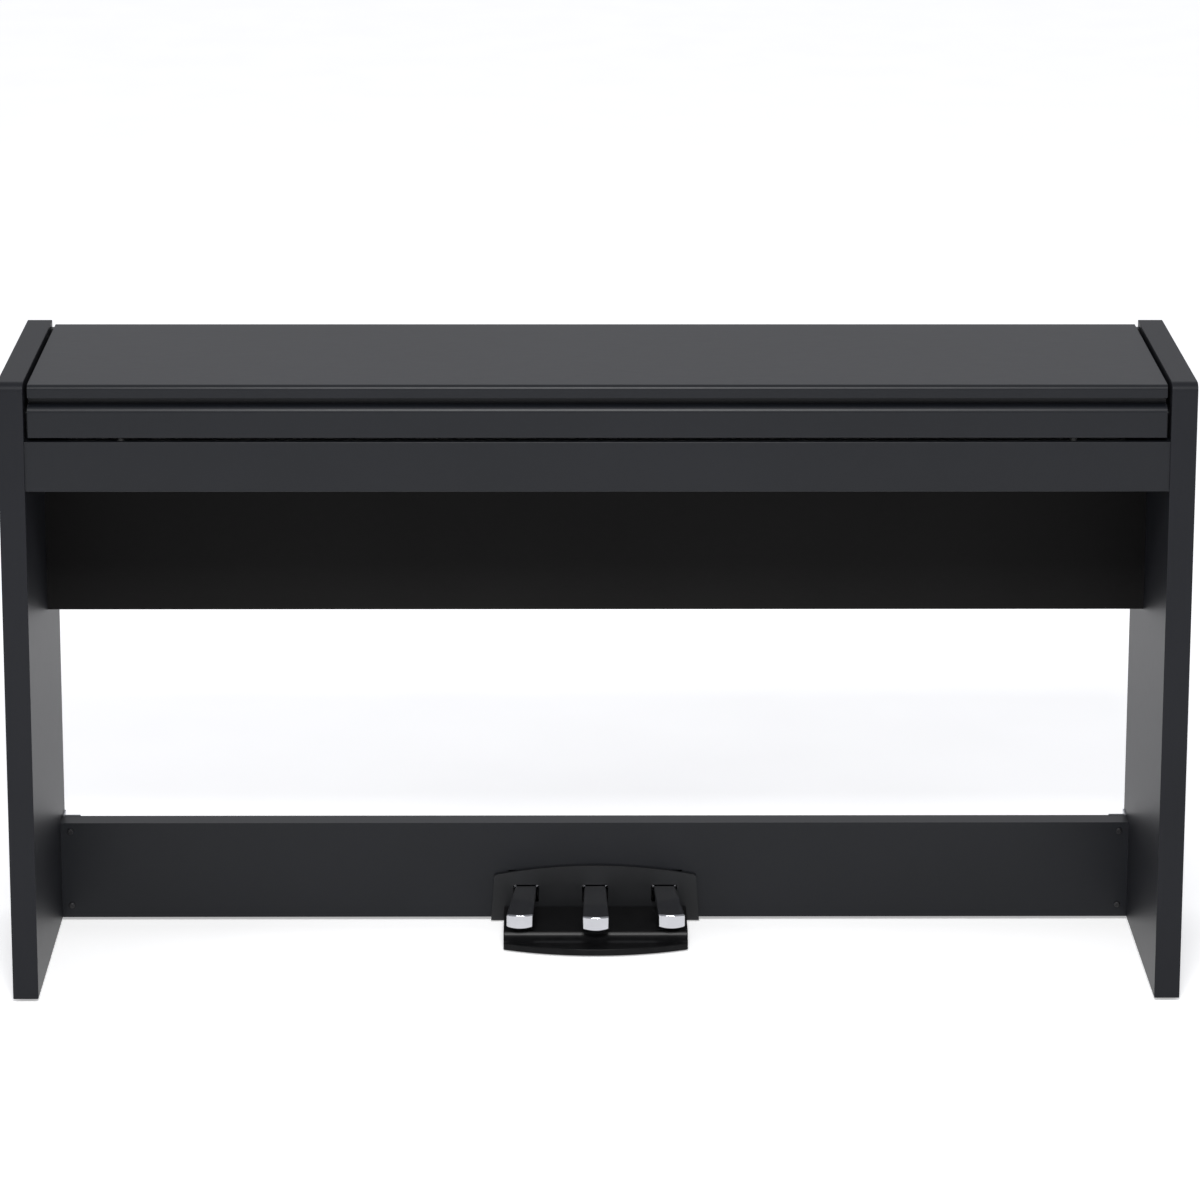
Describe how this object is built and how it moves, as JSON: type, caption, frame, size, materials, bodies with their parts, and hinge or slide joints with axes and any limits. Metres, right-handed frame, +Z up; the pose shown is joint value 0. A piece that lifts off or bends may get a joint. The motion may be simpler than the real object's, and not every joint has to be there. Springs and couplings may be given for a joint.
{
  "type": "digital piano",
  "caption": "Slim upright digital piano on panel sides, hinged top with folding front flap, low rear board, plated pedal unit.",
  "frame": {"origin": "on the floor at the centre of the footprint", "axes": "+X to the right as the player sees it, -Y towards the player, +Z up"},
  "size_m": [1.38, 0.35, 0.75],
  "materials": {
    "cabinet_black": "charcoal black laminated board, satin, faint grain",
    "speaker_board_black": "black laminated board, dull",
    "back_board": "black hardboard, matt",
    "glide_plastic": "matt black",
    "screw_steel": "black oxide",
    "bracket_steel": "zinc",
    "black_plastic": "fine texture",
    "circuit_board": "solder mask",
    "chassis_plastic": "moulded",
    "felt": "felt",
    "bright_steel": "drawn",
    "key_white": "satin gloss",
    "key_black": "satin",
    "speaker_paper": "pressed paper",
    "grille_metal": "powder coat",
    "bumper_rubber": "matt",
    "hinge_steel": "black",
    "pedal_case_satin": "satin black",
    "pedal_case_gloss": "gloss black",
    "pedal_plating": "bright plating"
  },
  "bodies": {
    "cabinet": {"black_keys": "key_black", "cheek_blocks": "cabinet_black", "circuit_boards": "circuit_board", "control_panel": "black_plastic", "corner_fillers": "black_plastic", "crossboard": "cabinet_black", "crossboard_screws": "screw_steel", "floor_glides": "glide_plastic", "jack_panel": "black_plastic", "key_felts": "felt", "key_frame": "chassis_plastic", "key_pivot_rod": "bright_steel", "key_slip": "cabinet_black", "keybed_board": "cabinet_black", "lid_hinge_fixed": "hinge_steel", "panel_brackets": "bracket_steel", "pedal_axle": "bright_steel", "pedal_base": "pedal_case_gloss", "pedal_chassis": "bracket_steel", "pedal_cover": "black_plastic", "pedal_plate": "pedal_case_satin", "pedal_springs": "bright_steel", "rear_deck": "cabinet_black", "rear_panel": "back_board", "side_panel_left": "cabinet_black", "side_panel_right": "cabinet_black", "speaker_bottom_board": "cabinet_black", "speaker_cones": "speaker_paper", "speaker_front_board": "speaker_board_black", "speaker_grilles": "grille_metal", "speaker_rear_board": "back_board", "speaker_units": "bracket_steel", "white_keys": "key_white"},
    "lid": {"lid_leaf": "cabinet_black", "lid_hinge_moving": "hinge_steel", "flap_hinge_upper": "hinge_steel", "ledge_brackets": "black_plastic"},
    "flap": {"lid_flap": "cabinet_black", "flap_hinge_lower": "hinge_steel", "flap_bumpers": "bumper_rubber"},
    "ledge": {"music_ledge": "cabinet_black"},
    "knob": {"volume_knob": "black_plastic"},
    "power": {"power_button": "black_plastic"},
    "function": {"function_button": "black_plastic"},
    "soft": {"soft_pedal": "pedal_plating"},
    "sostenuto": {"sostenuto_pedal": "pedal_plating"},
    "damper": {"damper_pedal": "pedal_plating"},
    "note_c": {"key_c": "key_white"},
    "note_c_sharp": {"key_c_sharp": "key_black"},
    "note_d": {"key_d": "key_white"},
    "note_d_sharp": {"key_d_sharp": "key_black"},
    "note_e": {"key_e": "key_white"},
    "note_f": {"key_f": "key_white"},
    "note_f_sharp": {"key_f_sharp": "key_black"},
    "note_g": {"key_g": "key_white"},
    "note_g_sharp": {"key_g_sharp": "key_black"},
    "note_a": {"key_a": "key_white"},
    "note_a_sharp": {"key_a_sharp": "key_black"},
    "note_b": {"key_b": "key_white"}
  },
  "joints": [
    {"name": "lid_open", "type": "hinge", "parent": "cabinet", "child": "lid", "pos_m": [0, 0.1727, 0.731], "axis": [-1, 0, 0], "range_deg": [0, 98]},
    {"name": "flap_fold", "type": "hinge", "parent": "lid", "child": "flap", "pos_m": [0, -0.1442, 0.7284], "axis": [1, 0, 0], "range_deg": [0, 90]},
    {"name": "ledge_fold", "type": "hinge", "parent": "lid", "child": "ledge", "pos_m": [0, 0.118, 0.7264], "axis": [1, 0, 0], "range_deg": [0, 90]},
    {"name": "press_c", "type": "hinge", "parent": "cabinet", "child": "note_c", "pos_m": [0, 0.07, 0.678], "axis": [1, 0, 0], "range_deg": [0, 2.7], "stiffness_Nm_per_rad": 1, "springref_deg": -11.46},
    {"name": "press_c_sharp", "type": "hinge", "parent": "cabinet", "child": "note_c_sharp", "pos_m": [0, 0.07, 0.678], "axis": [1, 0, 0], "range_deg": [0, 2.7], "stiffness_Nm_per_rad": 1, "springref_deg": -11.46},
    {"name": "press_d", "type": "hinge", "parent": "cabinet", "child": "note_d", "pos_m": [0, 0.07, 0.678], "axis": [1, 0, 0], "range_deg": [0, 2.7], "stiffness_Nm_per_rad": 1, "springref_deg": -11.46},
    {"name": "press_d_sharp", "type": "hinge", "parent": "cabinet", "child": "note_d_sharp", "pos_m": [0, 0.07, 0.678], "axis": [1, 0, 0], "range_deg": [0, 2.7], "stiffness_Nm_per_rad": 1, "springref_deg": -11.46},
    {"name": "press_e", "type": "hinge", "parent": "cabinet", "child": "note_e", "pos_m": [0, 0.07, 0.678], "axis": [1, 0, 0], "range_deg": [0, 2.7], "stiffness_Nm_per_rad": 1, "springref_deg": -11.46},
    {"name": "press_f", "type": "hinge", "parent": "cabinet", "child": "note_f", "pos_m": [0, 0.07, 0.678], "axis": [1, 0, 0], "range_deg": [0, 2.7], "stiffness_Nm_per_rad": 1, "springref_deg": -11.46},
    {"name": "press_f_sharp", "type": "hinge", "parent": "cabinet", "child": "note_f_sharp", "pos_m": [0, 0.07, 0.678], "axis": [1, 0, 0], "range_deg": [0, 2.7], "stiffness_Nm_per_rad": 1, "springref_deg": -11.46},
    {"name": "press_g", "type": "hinge", "parent": "cabinet", "child": "note_g", "pos_m": [0, 0.07, 0.678], "axis": [1, 0, 0], "range_deg": [0, 2.7], "stiffness_Nm_per_rad": 1, "springref_deg": -11.46},
    {"name": "press_g_sharp", "type": "hinge", "parent": "cabinet", "child": "note_g_sharp", "pos_m": [0, 0.07, 0.678], "axis": [1, 0, 0], "range_deg": [0, 2.7], "stiffness_Nm_per_rad": 1, "springref_deg": -11.46},
    {"name": "press_a", "type": "hinge", "parent": "cabinet", "child": "note_a", "pos_m": [0, 0.07, 0.678], "axis": [1, 0, 0], "range_deg": [0, 2.7], "stiffness_Nm_per_rad": 1, "springref_deg": -11.46},
    {"name": "press_a_sharp", "type": "hinge", "parent": "cabinet", "child": "note_a_sharp", "pos_m": [0, 0.07, 0.678], "axis": [1, 0, 0], "range_deg": [0, 2.7], "stiffness_Nm_per_rad": 1, "springref_deg": -11.46},
    {"name": "press_b", "type": "hinge", "parent": "cabinet", "child": "note_b", "pos_m": [0, 0.07, 0.678], "axis": [1, 0, 0], "range_deg": [0, 2.7], "stiffness_Nm_per_rad": 1, "springref_deg": -11.46},
    {"name": "volume_turn", "type": "hinge", "parent": "cabinet", "child": "knob", "pos_m": [-0.51, 0.035, 0.712], "axis": [0, 0, -1], "range_deg": [0, 270]},
    {"name": "power_press", "type": "slide", "parent": "cabinet", "child": "power", "axis": [0, 0, -1], "range_m": [0, 0.0015], "stiffness_N_per_m": 400, "springref_m": -0.001},
    {"name": "function_press", "type": "slide", "parent": "cabinet", "child": "function", "axis": [0, 0, -1], "range_m": [0, 0.0015], "stiffness_N_per_m": 400, "springref_m": -0.001},
    {"name": "soft_press", "type": "hinge", "parent": "cabinet", "child": "soft", "pos_m": [0, 0.15, 0.036], "axis": [1, 0, 0], "range_deg": [0, 2.7], "stiffness_Nm_per_rad": 20, "springref_deg": -5.73},
    {"name": "sostenuto_press", "type": "hinge", "parent": "cabinet", "child": "sostenuto", "pos_m": [0, 0.15, 0.036], "axis": [1, 0, 0], "range_deg": [0, 2.7], "stiffness_Nm_per_rad": 20, "springref_deg": -5.73},
    {"name": "damper_press", "type": "hinge", "parent": "cabinet", "child": "damper", "pos_m": [0, 0.15, 0.036], "axis": [1, 0, 0], "range_deg": [0, 2.7], "stiffness_Nm_per_rad": 20, "springref_deg": -5.73}
  ],
  "couplings": [
    {"joint": "flap_fold", "follows": "lid_open", "ratio": 0.918}
  ]
}
